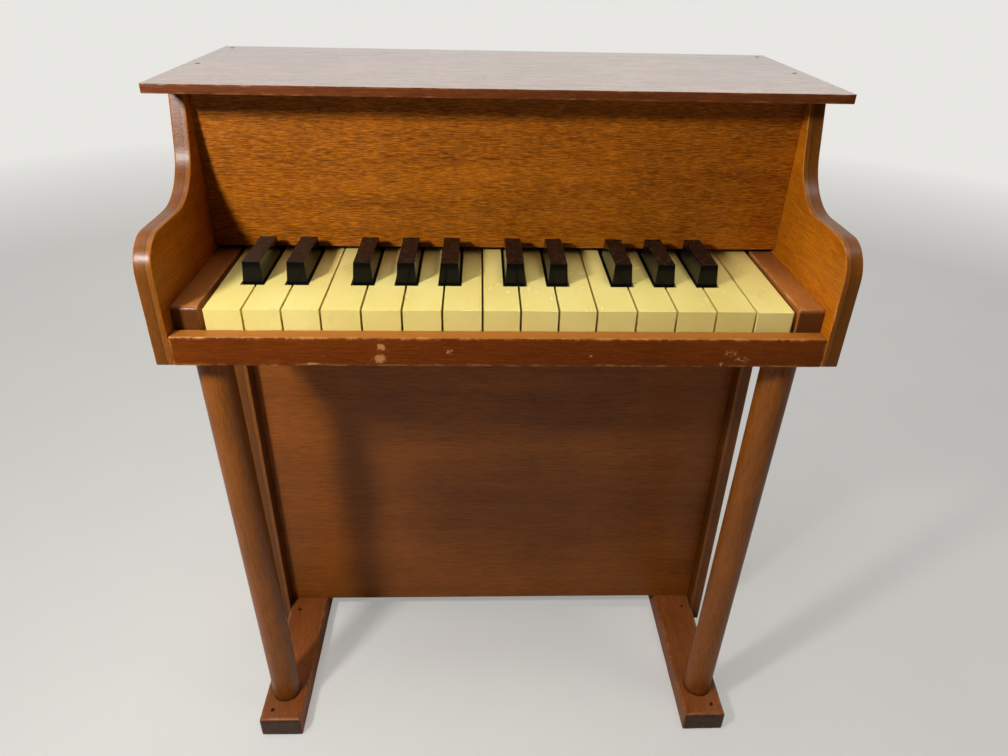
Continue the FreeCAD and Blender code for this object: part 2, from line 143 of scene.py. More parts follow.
def board(name, outline, axis, low, high, ease, seed, chips=(), corner=1.2 * MM):
    """Board sawn to an outline across one axis, its edges eased unevenly by sanding and wear.
    A chip has its place on the outline, its length, its depth and the face it is on, 0 or 1."""
    walk = edge_walk(outline, corner, step=4 * MM)
    half = (high - low) / 2
    band = min(1.2 * MM, (half - ease) * 0.5)
    # Steps round an edge: shares of the easing inward and downward, more of each, and the wear
    profile = [(1, 0, band, 0, 0.0), (1, 0, 0, 0, 0.55)]
    for turn in (22.5, 45.0, 67.5):
        angle = math.radians(turn)
        profile.append((1 - math.sin(angle), 1 - math.cos(angle), 0, 0, 1.0))
    profile += [(0, 1, 0, 0, 0.55), (0, 1, 0, band, 0.0)]
    bm = bmesh.new()
    wear = bm.verts.layers.float.new("wear")
    rings = []
    for face in (0, 1):
        eases = []
        for point, _, _, _ in walk:
            amount = ease * (1 + 0.4 * noise.noise((point.x * 70, point.y * 70, seed + 9 * face)))
            for u, v, length, depth, side in chips:
                reach = (point - Vector((u, v))).length / (length / 2)
                if side == face and reach < 1:
                    rough = 0.75 + 0.25 * noise.noise((point.x * 700, point.y * 700, seed))
                    amount += depth * (1 - reach ** 2) * rough
            eases.append(min(amount, half * 0.9))
        for in_share, deep_share, in_more, deep_more, worn in profile if face == 0 else profile[::-1]:
            ring = []
            for i, (point, inward, radius, bisector) in enumerate(walk):
                inset = in_share * eases[i] + in_more
                flat = point + inward * min(inset, radius) + bisector * max(0.0, inset - radius)
                sunk = deep_share * eases[i] + deep_more
                along = low + sunk if face == 0 else high - sunk
                place = {"x": (along, *flat), "y": (flat.x, along, flat.y), "z": (*flat, along)}[axis]
                vert = bm.verts.new(place)
                vert[wear] = worn
                ring.append(vert)
            rings.append(ring)
    skin(bm, rings)
    bmesh.ops.remove_doubles(bm, verts=bm.verts, dist=0.001 * MM)
    return piece_from(bm, name)


def tone(red, green, blue):
    """A colour for a shader, from its screen values of 0 to 255."""
    levels = [level / 255 for level in (red, green, blue)]
    return (*[v / 12.92 if v < 0.04 else ((v + 0.055) / 1.055) ** 2.4 for v in levels], 1.0)


def new_finish(name):
    """A material, its node tree and its shader."""
    finish = bpy.data.materials.new(name)
    finish.use_nodes = True
    return finish, finish.node_tree, finish.node_tree.nodes["Principled BSDF"]


def plug(tree, socket, value):
    """Feeds a socket from another socket, or sets its value."""
    if isinstance(value, bpy.types.NodeSocket):
        tree.links.new(value, socket)
    else:
        socket.default_value = value


def add(tree, kind, inputs, **settings):
    """A shader node with its settings and inputs."""
    node = tree.nodes.new("ShaderNode" + kind)
    for setting, value in settings.items():
        setattr(node, setting, value)
    for socket, value in inputs.items():
        plug(tree, node.inputs[socket], value)
    return node


def calc(tree, kind, first, second=0.0):
    """Sum, difference, larger value or other result of two numbers."""
    return add(tree, "Math", {0: first, 1: second}, operation=kind).outputs[0]


def times(tree, first, *others):
    """Product of several numbers."""
    for other in others:
        first = calc(tree, "MULTIPLY", first, other)
    return first


def blend(tree, share, first, second, mode="MIX"):
    """Two colours mixed."""
    mixer = add(tree, "Mix", {0: share, 6: first, 7: second}, data_type="RGBA", blend_type=mode)
    return mixer.outputs[2]


def span(tree, value, low, high, start=0.0, end=1.0):
    """A number's range stretched to another range, and held there."""
    inputs = {"Value": value, "From Min": low, "From Max": high, "To Min": start, "To Max": end}
    return add(tree, "MapRange", inputs).outputs["Result"]


def on_piece(tree):
    """Place on the piece, in metres."""
    return add(tree, "TexCoord", {}).outputs["Object"]


def part_of(tree, vector, axis):
    """One coordinate of a place or a direction."""
    return add(tree, "SeparateXYZ", {"Vector": vector}).outputs[axis]


def faces(tree, axis):
    """How squarely the surface faces along an axis, from -1 to 1."""
    return part_of(tree, add(tree, "NewGeometry", {}).outputs["Normal"], axis)


def speckle(tree, place, stretch, detail, rough, seed=0.0, warp=0.0):
    """Noise over the piece, with its own scale along each axis, in specks per metre."""
    inputs = {"Vector": place, "Location": (seed, seed, seed), "Scale": stretch}
    spot = add(tree, "Mapping", inputs).outputs[0]
    inputs = {"Vector": spot, "Scale": 1.0, "Detail": detail, "Roughness": rough, "Distortion": warp}
    return add(tree, "TexNoise", inputs).outputs[0]


def stretched(grain, along, across):
    """Noise scales for fibres that run along one axis."""
    return tuple(along if axis == grain else across for axis in "xyz")


def lacquered_wood(name, grain, gloss, worn, pale, deep, pore, bare):
    """Stained open-pored wood under thin lacquer, its fibres along one axis.
    Its edges are rubbed to bare wood in patches, as far as the worn share says."""
    finish, tree, shader = new_finish(name)
    place = on_piece(tree)
    fibres = speckle(tree, place, stretched(grain, 75, 1700), detail=3.0, rough=0.65)
    streaks = span(tree, fibres, 0.36, 0.64)
    bands = speckle(tree, place, stretched(grain, 4, 62), detail=4.0, rough=0.55, seed=3.0, warp=0.4)
    figure = span(tree, bands, 0.3, 0.7)
    vessels = speckle(tree, place, stretched(grain, 210, 1900), detail=1.5, rough=0.5, seed=7.0)
    pores = span(tree, vessels, 0.6, 0.72)
    rays = speckle(tree, place, stretched(grain, 260, 1500), detail=1.5, rough=0.5, seed=17.0)
    flecks = span(tree, rays, 0.6, 0.74)
    clouds = speckle(tree, place, (17, 17, 17), detail=3.0, rough=0.55, seed=5.0)
    mottle = span(tree, clouds, 0.3, 0.7, 0.86, 1.12)
    share = calc(tree, "ADD", times(tree, streaks, 0.66), times(tree, figure, 0.34))
    colour = blend(tree, share, deep, pale)
    colour = blend(tree, times(tree, pores, 0.35), colour, pore)
    colour = blend(tree, times(tree, flecks, 0.1), colour, bare)
    colour = blend(tree, 1.0, colour, mottle, "MULTIPLY")
    edges = add(tree, "Attribute", {}, attribute_name="wear").outputs["Fac"]
    rubs = speckle(tree, place, (110, 110, 110), detail=5.0, rough=0.7, seed=11.0)
    rubbed = times(tree, edges, span(tree, rubs, 0.46, 0.64), worn)
    colour = blend(tree, rubbed, colour, bare)
    plug(tree, shader.inputs["Base Color"], colour)
    plug(tree, shader.inputs["Roughness"], span(tree, streaks, 0.0, 1.0, gloss - 0.05, gloss + 0.07))
    height = calc(tree, "SUBTRACT", times(tree, streaks, 0.5), pores)
    bump = add(tree, "Bump", {"Strength": 0.3, "Distance": 0.12 * MM, "Height": height})
    plug(tree, shader.inputs["Normal"], bump.outputs[0])
    shader.inputs["Specular IOR Level"].default_value = 0.2
    shader.inputs["Coat Weight"].default_value = 0.06
    shader.inputs["Coat Roughness"].default_value = 0.2
    return finish, tree, shader, colour, place


hollow = (CHEEK_RUN ** 2 + CHEEK_RISE ** 2) / (2 * CHEEK_RISE)
hollow_end = math.degrees(math.atan2(CHEEK_RISE - hollow, CHEEK_RUN))
cheek_front = side_low.y + CHEEK_START
side_outline = [(side_low.y, underside)]
side_outline += arc((side_low.y + NOSE_RADIUS, ARM_TOP - NOSE_RADIUS), NOSE_RADIUS, 180, 90, 12)
side_outline += arc((cheek_front, ARM_TOP + hollow), hollow, -90, hollow_end, 14)
side_outline += [(cheek_front + CHEEK_RUN + CHEEK_LEAN, side_high.z), (side_high.y, side_high.z)]
side_outline += [(side_high.y, side_low.z), (side_low.y + KNEE_EDGE, side_low.z)]
side_outline += [(side_low.y + KNEE_EDGE, underside)]

side_finish, tree, shader, colour, place = lacquered_wood(
    "amber_plywood", grain="y", gloss=0.34, worn=0.5,
    pale=tone(216, 130, 22), deep=tone(152, 77, 3), pore=tone(96, 42, 2), bare=tone(206, 148, 84))
across = part_of(tree, place, "X")
layer = span(tree, calc(tree, "ABSOLUTE", across), inner_face, side_high.x)
plies = add(tree, "ValToRGB", {"Fac": layer})
stops = plies.color_ramp.elements
stops[0].position = 0.0
stops[0].color = tone(146, 85, 24)
stops[1].position = 1.0
stops[1].color = tone(130, 75, 21)
for position, ply in ((0.31, tone(144, 83, 23)), (0.34, tone(58, 29, 9)), (0.37, tone(116, 66, 19))):
    stops.new(position).color = ply
sawn = speckle(tree, place, (1500, 160, 160), detail=4.0, rough=0.65, seed=23.0)
sawn_marks = span(tree, sawn, 0.35, 0.65, 0.0, 0.5)
edge_colour = blend(tree, sawn_marks, plies.outputs["Color"], tone(74, 40, 16))
sideways = faces(tree, "X")
sawn_edge = span(tree, calc(tree, "ABSOLUTE", sideways), 0.25, 0.6, 1.0, 0.0)
# Painted shade: the inner faces below the key bed are blended towards dark brown.
inside = span(tree, times(tree, sideways, across), -0.15, -0.05, 1.0, 0.0)
painted_shade_below_keys = span(tree, part_of(tree, place, "Z"), underside - 1 * MM, underside, 0.8, 0.0)
colour = blend(tree, times(tree, inside, painted_shade_below_keys), colour, tone(62, 30, 10))
plug(tree, shader.inputs["Base Color"], blend(tree, sawn_edge, colour, edge_colour))
pitted = speckle(tree, place, (700, 700, 700), detail=3.0, rough=0.7, seed=19.0)
brushed = add(tree, "Bump", {"Strength": 0.6, "Distance": 0.16 * MM, "Height": pitted})
plug(tree, shader.inputs["Normal"], brushed.outputs[0])
plug(tree, shader.inputs["Coat Normal"], brushed.outputs[0])

for name, low, high, chip in (
        ("left_side_panel", side_low.x, -inner_face, (cheek_front, ARM_TOP, 9 * MM, 0.5 * MM, 1)),
        ("right_side_panel", inner_face, side_high.x, (side_low.y, 391 * MM, 12 * MM, 0.6 * MM, 0))):
    side_panel = board(name, side_outline, "x", low, high, ease=0.6 * MM, seed=4.0, chips=[chip])
    side_panel.data.materials.append(side_finish)
    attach(side_panel, "case")
    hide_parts("side_panels")

# Runners: two bars of solid board that lie on the floor inside the side panels, from front to back.
# Their top edges are rounded over, the stain is reddish brown and the front ends are dark end grain.
# Each is held by nails that are driven in from above and sunk below the surface.
NAIL_HOLE = 3.2 * MM
NAIL_DEPTH = 2.4 * MM
NAIL_INSET = 9.0 * MM
RUNNER_NAILS = (-107.4 * MM, 0.9 * MM)
FLOOR_LEVEL = 1.0 * MM


def solids_of(node):
    """Lowest and highest corners of each separate solid of a CAD node, from left to right."""
    bm = bmesh.new()
    bm.from_mesh(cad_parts[node].data)
    bmesh.ops.remove_doubles(bm, verts=bm.verts, dist=0.01 * MM)
    waiting = set(bm.verts)
    boxes = []
    while waiting:
        reached = [waiting.pop()]
        corners = []
        while reached:
            vert = reached.pop()
            corners.append(vert.co.copy())
            for edge in vert.link_edges:
                other = edge.other_vert(vert)
                if other in waiting:
                    waiting.remove(other)
                    reached.append(other)
        lowest = Vector([min(column) for column in zip(*corners)])
        highest = Vector([max(column) for column in zip(*corners)])
        boxes.append((lowest, highest))
    bm.free()
    return sorted(boxes, key=lambda box: tuple(box[0]))


def rectangle(u_low, v_low, u_high, v_high):
    """Corners of a sawn rectangle."""
    return [(u_low, v_low), (u_high, v_low), (u_high, v_high), (u_low, v_high)]


def turned(name, profile, place, sides=24):
    """Piece of revolution about an upright axis, from its (radius, height) profile."""
    bm = bmesh.new()
    rings = []
    for radius, height in profile:
        ring = []
        for side in range(sides):
            angle = 2 * math.pi * side / sides
            spot = Vector((radius * math.cos(angle), radius * math.sin(angle), height)) + Vector(place)
            ring.append(bm.verts.new(spot))
        rings.append(ring)
    skin(bm, rings)
    return piece_from(bm, name)


def sink_nails(piece, places, finish, name):
    """Bores a slightly flared hole at each place and leaves a nail head at its bottom."""
    half = NAIL_HOLE / 2
    hole = [(half * 0.9, -NAIL_DEPTH), (half, -0.3 * MM), (half * 1.25, 0.2 * MM)]
    head = [(half * 0.8, -0.1 * MM), (half * 0.82, 0.5 * MM)]
    head += [(half * 0.6, 0.75 * MM), (half * 0.2, 0.85 * MM)]
    for number, place in enumerate(places, 1):
        bore = turned("bore", hole, place)
        cut = piece.modifiers.new("nail_hole", "BOOLEAN")
        cut.operation = "DIFFERENCE"
        cut.object = bore
        bored = piece.evaluated_get(bpy.context.evaluated_depsgraph_get())
        shape = bpy.data.meshes.new_from_object(bored)
        piece.modifiers.clear()
        piece.data = shape
        bpy.data.objects.remove(bore)
        nail = turned(f"{name}_{number}", head, Vector(place) - Vector((0, 0, NAIL_DEPTH)))
        nail.data.materials.append(finish)
        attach(nail, "case")
    piece.data.set_sharp_from_angle(angle=SHARP_CORNER)
    worn = piece.data.attributes["wear"].data
    for vert in piece.data.vertices:
        if any((vert.co - Vector(place)).length < NAIL_HOLE * 2 for place in places):
            worn[vert.index].value = 0.0


nail_finish, tree, shader = new_finish("dark_nail_steel")
rust = span(tree, speckle(tree, on_piece(tree), (900, 900, 900), detail=3.0, rough=0.6), 0.35, 0.7)
plug(tree, shader.inputs["Base Color"], blend(tree, rust, tone(34, 28, 24), tone(58, 38, 26)))
plug(tree, shader.inputs["Roughness"], span(tree, rust, 0.0, 1.0, 0.4, 0.75))
shader.inputs["Metallic"].default_value = 0.3

runner_finish, tree, shader, colour, place = lacquered_wood(
    "red_brown_board", grain="y", gloss=0.42, worn=0.45,
    pale=tone(158, 90, 40), deep=tone(114, 58, 21), pore=tone(64, 30, 10), bare=tone(196, 140, 88))
end_tone = speckle(tree, place, (600, 600, 900), detail=4.0, rough=0.6, seed=3.0)
end_grain = blend(tree, span(tree, end_tone, 0.35, 0.65), tone(46, 27, 15), tone(84, 54, 32))
end_face = span(tree, calc(tree, "ABSOLUTE", faces(tree, "Y")), 0.6, 0.9)
plug(tree, shader.inputs["Base Color"], blend(tree, end_face, colour, end_grain))

footing = solids_of("legs_and_runners")
runners = [box for box in footing if box[0].z < FLOOR_LEVEL]
for name, (low, high) in zip(("left_runner", "right_runner"), runners):
    chips = [(low.x + 12 * MM, low.y, 12 * MM, 1.2 * MM, 1), (high.x - 8 * MM, low.y, 7 * MM, 0.9 * MM, 1)]
    outline = rectangle(low.x, low.y, high.x, high.y)
    runner = board(name, outline, "z", low.z, high.z, ease=2.0 * MM, seed=6.0, chips=chips, corner=1.6 * MM)
    runner.data.materials.append(runner_finish)
    nail_x = low.x + NAIL_INSET if low.x < 0 else high.x - NAIL_INSET
    sink_nails(runner, [(nail_x, nail_y, high.z) for nail_y in RUNNER_NAILS], nail_finish, name + "_nail")
    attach(runner, "case")
    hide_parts("legs_and_runners")

# Legs: two round dowels of hardwood, stained to match, that lean outward a little towards the top.
# Each is glued into the runner below and the key bed above, and old glue darkens the foot.
runner_top = runners[0][1].z
leg_finish, tree, shader, colour, place = lacquered_wood(
    "dowel_stain", grain="z", gloss=0.36, worn=0.8,
    pale=tone(160, 92, 26), deep=tone(112, 58, 11), pore=tone(64, 28, 4), bare=tone(200, 146, 88))
foot_ring = span(tree, part_of(tree, place, "Z"), runner_top + 0.5 * MM, runner_top + 4 * MM, 0.75, 0.0)
plug(tree, shader.inputs["Base Color"], blend(tree, foot_ring, colour, tone(44, 24, 12)))


def dowel(name, foot, head, radius):
    """Turned dowel from foot to head, a little uneven and with a bead of glue at the foot."""
    bm = bmesh.new()
    sides = 48
    bead = 0.008
    levels = [0.0, 0.002, 0.004, bead] + [0.04 * step for step in range(1, 25)] + [1.0]
    rings = []
    for level in levels:
        centre = foot.lerp(head, level)
        swell = radius * (1 + 0.05 * max(0.0, 1 - level / bead) ** 2)
        ring = []
        for side in range(sides):
            angle = 2 * math.pi * side / sides
            ray = Vector((math.cos(angle), math.sin(angle), 0))
            uneven = 1 + 0.006 * noise.noise((ray.x * 1.5, ray.y * 1.5, centre.z * 14))
            ring.append(bm.verts.new(centre + ray * swell * uneven))
        rings.append(ring)
    skin(bm, rings)
    return piece_from(bm, name)


legs = [box for box in footing if box[0].z > FLOOR_LEVEL]
for name, (low, high) in zip(("left_leg", "right_leg"), legs):
    radius = (high.y - low.y) / 2
    ends = [low.x + radius, high.x - radius]
    foot_x, head_x = ends if low.x > 0 else ends[::-1]
    middle = (low.y + high.y) / 2
    leg = dowel(name, Vector((foot_x, middle, low.z)), Vector((head_x, middle, high.z)), radius)
    leg.data.materials.append(leg_finish)
    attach(leg, "case")
    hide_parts("legs_and_runners")

# Knee panel: thin plywood with its face grain across, set back between the side panels under the keys.
# It stands on the runners, is stained the darker brown of the lower case, and has one small knot.
KNOT = (-161.8 * MM, 66.4 * MM)


def upright_panel(name, node, seed):
    """Thin board that stands across the case and fills the box of a CAD node."""
    low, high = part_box(node)
    outline = rectangle(low.x, low.z, high.x, high.z)
    return board(name, outline, "y", low.y, high.y, ease=0.5 * MM, seed=seed)


knee_finish, tree, shader, colour, place = lacquered_wood(
    "brown_plywood", grain="x", gloss=0.42, worn=0.5,
    pale=tone(162, 91, 28), deep=tone(116, 60, 12), pore=tone(70, 33, 6), bare=tone(176, 122, 76))
from_knot = add(tree, "Mapping", {"Vector": place, "Location": (-KNOT[0], 0, -KNOT[1])}).outputs[0]
rings = add(tree, "TexWave", {"Vector": from_knot, "Scale": 60.0, "Distortion": 2.0, "Detail": 2.0},
            wave_type="RINGS", rings_direction="Y").outputs["Fac"]
reach = add(tree, "VectorMath", {0: from_knot}, operation="LENGTH").outputs["Value"]
swirl = times(tree, rings, span(tree, reach, 4 * MM, 17 * MM, 0.6, 0.0))
plug(tree, shader.inputs["Base Color"], blend(tree, swirl, colour, tone(182, 116, 56)))
knee_board = upright_panel("knee_board", "knee_panel", seed=8.0)
knee_board.data.materials.append(knee_finish)
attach(knee_board, "case")
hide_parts("knee_panel")

# Back panel: a thin board that closes the back, carries the chime block and sounds with the chimes.
# It is plain plywood with a thin wash of the same stain, glued in flush with the rear edges of the sides.
back_finish = lacquered_wood(
    "washed_plywood", grain="z", gloss=0.55, worn=0.7,
    pale=tone(176, 128, 78), deep=tone(142, 96, 52), pore=tone(96, 60, 30), bare=tone(206, 168, 120))[0]
back_board = upright_panel("back_board", "back_panel", seed=9.0)
back_board.data.materials.append(back_finish)
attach(back_board, "case")
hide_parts("back_panel")

# Key bed and rails: the board that the keys lie over, a rail under their tails and one for the hammers.
# They are unstained inside wood, glued between the side panels.


def eased_node(node, finish, width):
    """CAD node with its new finish and its sharp edges eased."""
    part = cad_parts[node]
    for holder in part.material_slots:
        holder.material = finish
    weld = part.modifiers.new("weld", "WELD")
    weld.merge_threshold = 0.01 * MM
    flats = part.modifiers.new("flats", "DECIMATE")
    flats.decimate_type = "DISSOLVE"
    flats.angle_limit = math.radians(1.5)
    ease = part.modifiers.new("ease", "BEVEL")
    ease.width = width
    ease.segments = 3
    ease.limit_method = "ANGLE"
    ease.angle_limit = math.radians(40)
    ease.harden_normals = True
    part.modifiers.new("shading", "WEIGHTED_NORMAL").keep_sharp = True


bed_finish = lacquered_wood(
    "plain_pine", grain="x", gloss=0.6, worn=0.3,
    pale=tone(214, 176, 124), deep=tone(186, 142, 90), pore=tone(140, 98, 58), bare=tone(222, 190, 144))[0]
eased_node("key_bed_and_rails", bed_finish, width=0.6 * MM)

# Key slip: the strip of board across the front of the key bed, below the key fronts.
# It has the reddest stain, and hands have rubbed its top edge pale and scuffed its face.
# The ovals of bare and of scratched wood are (x, z, half width, half height) in millimetres.
BARE_PATCHES = ((-71.5, 370.0, 4.6, 4.0), (-73.0, 362.0, 6.6, 5.6), (-113.0, 358.6, 7.0, 1.6),
                (-32.3, 366.2, 1.4, 1.1), (53.1, 364.5, 1.6, 1.2))
SCRATCHES = ((137.0, 366.5, 5.6, 2.6), (145.0, 362.4, 5.6, 2.2), (132.0, 359.0, 2.4, 2.6),
             (-31.0, 367.0, 2.6, 2.2))


def inside_ovals(tree, place, ovals):
    """1 in the middle of each oval on the front face, falling to 0 at its rim."""
    nearest = 0.0
    for x, z, width, height in ovals:
        inputs = {"Vector": place, "Location": (-x / width, 0.0, -z / height)}
        inputs["Scale"] = (1 / (width * MM), 0.0, 1 / (height * MM))
        mapped = add(tree, "Mapping", inputs).outputs[0]
        reach = add(tree, "VectorMath", {0: mapped}, operation="LENGTH").outputs["Value"]
        nearest = calc(tree, "MAXIMUM", nearest, span(tree, reach, 0.3, 1.0, 1.0, 0.0))
    return nearest


slip_finish, tree, shader, colour, place = lacquered_wood(
    "red_stain", grain="x", gloss=0.34, worn=0.7,
    pale=tone(126, 58, 6), deep=tone(92, 38, 1), pore=tone(56, 20, 1), bare=tone(206, 142, 72))
ragged = speckle(tree, place, (520, 520, 900), detail=5.0, rough=0.75, seed=29.0, warp=0.8)
patches = calc(tree, "ADD", times(tree, inside_ovals(tree, place, BARE_PATCHES), 0.4), ragged)
colour = blend(tree, span(tree, patches, 0.74, 0.86, 0.0, 0.85), colour, tone(196, 132, 82))
wander = speckle(tree, place, (170, 170, 330), detail=3.0, rough=0.6, seed=53.0, warp=0.8)
off_line = calc(tree, "ABSOLUTE", calc(tree, "SUBTRACT", wander, 0.5))
stroke = times(tree, span(tree, off_line, 0.015, 0.05, 0.95, 0.0), inside_ovals(tree, place, SCRATCHES))
colour = blend(tree, stroke, colour, tone(206, 150, 108))
top_rub = times(tree, span(tree, faces(tree, "Z"), 0.6, 0.95), 0.42)
plug(tree, shader.inputs["Base Color"], blend(tree, top_rub, colour, tone(200, 130, 54)))
shader.inputs["Specular IOR Level"].default_value = 0.12

slip_and_blocks = solids_of("key_slip_and_blocks")
low, high = min(slip_and_blocks, key=lambda box: box[0].y)
behind_slip_face = low.y + 1 * MM
slip_chips = [(-113 * MM, low.z, 16 * MM, 0.8 * MM, 0), (60 * MM, low.z, 10 * MM, 0.6 * MM, 0),
              (150 * MM, low.z, 12 * MM, 0.7 * MM, 0), (-40 * MM, high.z, 8 * MM, 0.5 * MM, 0),
              (96 * MM, high.z, 12 * MM, 0.5 * MM, 0), (-150 * MM, high.z, 10 * MM, 0.5 * MM, 0)]
outline = rectangle(low.x, low.z, high.x, high.z)
key_slip = board("key_slip", outline, "y", low.y, high.y, ease=0.8 * MM, seed=10.0, chips=slip_chips)
key_slip.data.materials.append(slip_finish)
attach(key_slip, "case")
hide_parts("key_slip_and_blocks")

# Key blocks: a block of stained wood at each end of the keys, behind the slip.
# The front end is rounded over, the faces that look forward are darker, and the edges are worn pale.
BLOCK_NOSE = 3.2 * MM
block_finish, tree, shader, colour, place = lacquered_wood(
    "block_stain", grain="y", gloss=0.34, worn=0.6,
    pale=tone(186, 118, 58), deep=tone(140, 82, 36), pore=tone(84, 44, 16), bare=tone(212, 156, 100))
# The faces that look forward are blended towards a dark brown.
darker_front = span(tree, faces(tree, "Y"), -0.95, -0.4, 0.8, 0.0)
plug(tree, shader.inputs["Base Color"], blend(tree, darker_front, colour, tone(66, 27, 6)))
blocks = [box for box in slip_and_blocks if box[0].y > behind_slip_face]
for name, (low, high) in zip(("left_key_block", "right_key_block"), blocks):
    outline = [(low.y, low.z)] + arc((low.y + BLOCK_NOSE, high.z - BLOCK_NOSE), BLOCK_NOSE, 180, 90, 8)
    outline += [(high.y, high.z), (high.y, low.z)]
    block = board(name, outline, "x", low.x, high.x, ease=0.8 * MM, seed=12.0)
    block.data.materials.append(block_finish)
    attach(block, "case")
    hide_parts("key_slip_and_blocks")

# Chime block and rods: a small iron casting screwed to the back panel, with a steel rod for each note.
# The two long rods are the steel pivots of the keys and of the hammers.
iron_finish, tree, shader = new_finish("cast_iron")
sand = speckle(tree, on_piece(tree), (900, 900, 900), detail=4.0, rough=0.6)
plug(tree, shader.inputs["Base Color"], blend(tree, sand, tone(44, 44, 46), tone(78, 76, 74)))
plug(tree, shader.inputs["Roughness"], span(tree, sand, 0.3, 0.7, 0.5, 0.8))
cast_skin = add(tree, "Bump", {"Strength": 0.5, "Distance": 0.3 * MM, "Height": sand})
plug(tree, shader.inputs["Normal"], cast_skin.outputs[0])
shader.inputs["Metallic"].default_value = 0.6
eased_node("chime_block", iron_finish, width=0.8 * MM)

rod_finish, tree, shader = new_finish("drawn_steel")
drawn = speckle(tree, on_piece(tree), (2500, 2500, 30), detail=3.0, rough=0.6)
plug(tree, shader.inputs["Base Color"], blend(tree, drawn, tone(150, 150, 154), tone(198, 197, 194)))
plug(tree, shader.inputs["Roughness"], span(tree, drawn, 0.3, 0.7, 0.24, 0.42))
shader.inputs["Metallic"].default_value = 1.0
eased_node("chime_and_pivot_rods", rod_finish, width=0.2 * MM)

# Hammers: one small moulded hammer for each key, turning on the rear rod.
# They are of dull pale plastic and swing back against their chime rods.
hammer_finish, tree, shader = new_finish("hammer_plastic")
moulded = speckle(tree, on_piece(tree), (500, 500, 500), detail=3.0, rough=0.6)
plug(tree, shader.inputs["Base Color"], blend(tree, moulded, tone(212, 204, 186), tone(228, 221, 204)))
plug(tree, shader.inputs["Roughness"], span(tree, moulded, 0.3, 0.7, 0.4, 0.6))
for name in sorted(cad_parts):
    if name.startswith("hammer_"):
        eased_node(name, hammer_finish, width=0.25 * MM)

# White keys: fifteen moulded keys of cream plastic, yellowed by age, with crisp edges.
# They turn on the front rod behind the panel, and fingers have left faint grey smudges on them.
KEY_EDGE = 0.6 * MM
cream_finish, tree, shader = new_finish("yellowed_cream_plastic")
place = on_piece(tree)
aged = span(tree, speckle(tree, place, (30, 18, 30), detail=3.0, rough=0.55), 0.3, 0.7)
colour = blend(tree, aged, tone(234, 216, 128), tone(241, 226, 142))
smudge = span(tree, speckle(tree, place, (120, 60, 120), detail=4.0, rough=0.62, seed=5.0), 0.58, 0.78)
colour = blend(tree, times(tree, smudge, 0.3), colour, tone(176, 160, 108))
speck = span(tree, speckle(tree, place, (1100, 1100, 1100), detail=1.0, rough=0.5, seed=9.0), 0.74, 0.8)
colour = blend(tree, times(tree, speck, 0.5), colour, tone(128, 110, 72))
plug(tree, shader.inputs["Base Color"], colour)
plug(tree, shader.inputs["Roughness"], span(tree, smudge, 0.0, 1.0, 0.2, 0.45))
moulding = speckle(tree, place, (420, 420, 420), detail=2.0, rough=0.5, seed=13.0)
bump = add(tree, "Bump", {"Strength": 0.08, "Distance": 0.1 * MM, "Height": moulding})
plug(tree, shader.inputs["Normal"], bump.outputs[0])

# Black keys: ten keys of glossy black plastic, each a raised cap with tapered sides between white keys.
# Their tops carry a little dust and the fine rub marks of use.
black_finish, tree, shader = new_finish("glossy_black_plastic")
dust = span(tree, speckle(tree, on_piece(tree), (260, 160, 260), detail=4.0, rough=0.65), 0.45, 0.75)
dust = times(tree, dust, span(tree, faces(tree, "Z"), 0.5, 0.95), 0.5)
plug(tree, shader.inputs["Base Color"], blend(tree, dust, tone(13, 12, 12), tone(62, 50, 42)))
plug(tree, shader.inputs["Roughness"], span(tree, dust, 0.0, 0.5, 0.14, 0.45))
shader.inputs["Specular IOR Level"].default_value = 0.16
for name in sorted(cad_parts):
    if name.startswith("key_") and name not in ("key_bed_and_rails", "key_slip_and_blocks"):
        eased_node(name, black_finish if name.endswith("sharp") else cream_finish, width=KEY_EDGE)

# Front panel: thin plywood with its face grain across, upright behind the keys under the lid.
# It is stained amber and lacquered, and stops just above the keys so that they can move.
front_finish, tree, shader, colour, place = lacquered_wood(
    "amber_face", grain="x", gloss=0.36, worn=0.4,
    pale=tone(196, 111, 15), deep=tone(88, 40, 2), pore=tone(64, 26, 2), bare=tone(206, 148, 84))
fibre = speckle(tree, place, stretched("x", 220, 1900), detail=2.0, rough=0.6, seed=47.0)
colour = blend(tree, span(tree, fibre, 0.52, 0.64, 0.0, 0.34), colour, tone(222, 136, 30))
colour = blend(tree, span(tree, fibre, 0.36, 0.48, 0.42, 0.0), colour, tone(82, 36, 2))
plug(tree, shader.inputs["Base Color"], colour)
front_board = upright_panel("front_board", "front_panel", seed=14.0)
front_board.data.materials.append(front_finish)
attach(front_board, "case")
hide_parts("front_panel")

# Lid: one thin board nailed down on the side panels, standing out a little at the sides and in front.
# Its lacquered top is hazy with dust and age, and its front edge is chipped and rubbed to pale wood.
# The underside has no lacquer and is dull.
LID_NAILS_OUT = 199.5 * MM
LID_NAILS = (27.5 * MM, 106.5 * MM)
lid_finish, tree, shader, colour, place = lacquered_wood(
    "dusty_lid", grain="x", gloss=0.36, worn=0.5,
    pale=tone(112, 56, 21), deep=tone(78, 36, 10), pore=tone(52, 22, 5), bare=tone(200, 144, 94))
upward = faces(tree, "Z")
top_face = span(tree, upward, 0.7, 0.97)
from_middle = calc(tree, "ABSOLUTE", part_of(tree, place, "X"))
ends = span(tree, from_middle, 110 * MM, 205 * MM, 0.62, 0.46)
clouds = speckle(tree, place, (13, 10, 13), detail=3.0, rough=0.6, seed=31.0, warp=0.3)
smears = speckle(tree, place, stretched("x", 45, 400), detail=4.0, rough=0.62, seed=33.0)
cloud = span(tree, clouds, 0.34, 0.62, 0.68, 1.0)
smear = span(tree, smears, 0.34, 0.64, 0.6, 1.0)
film = times(tree, cloud, smear, ends, top_face)
grit = speckle(tree, place, stretched("x", 240, 700), detail=3.0, rough=0.65, seed=37.0)
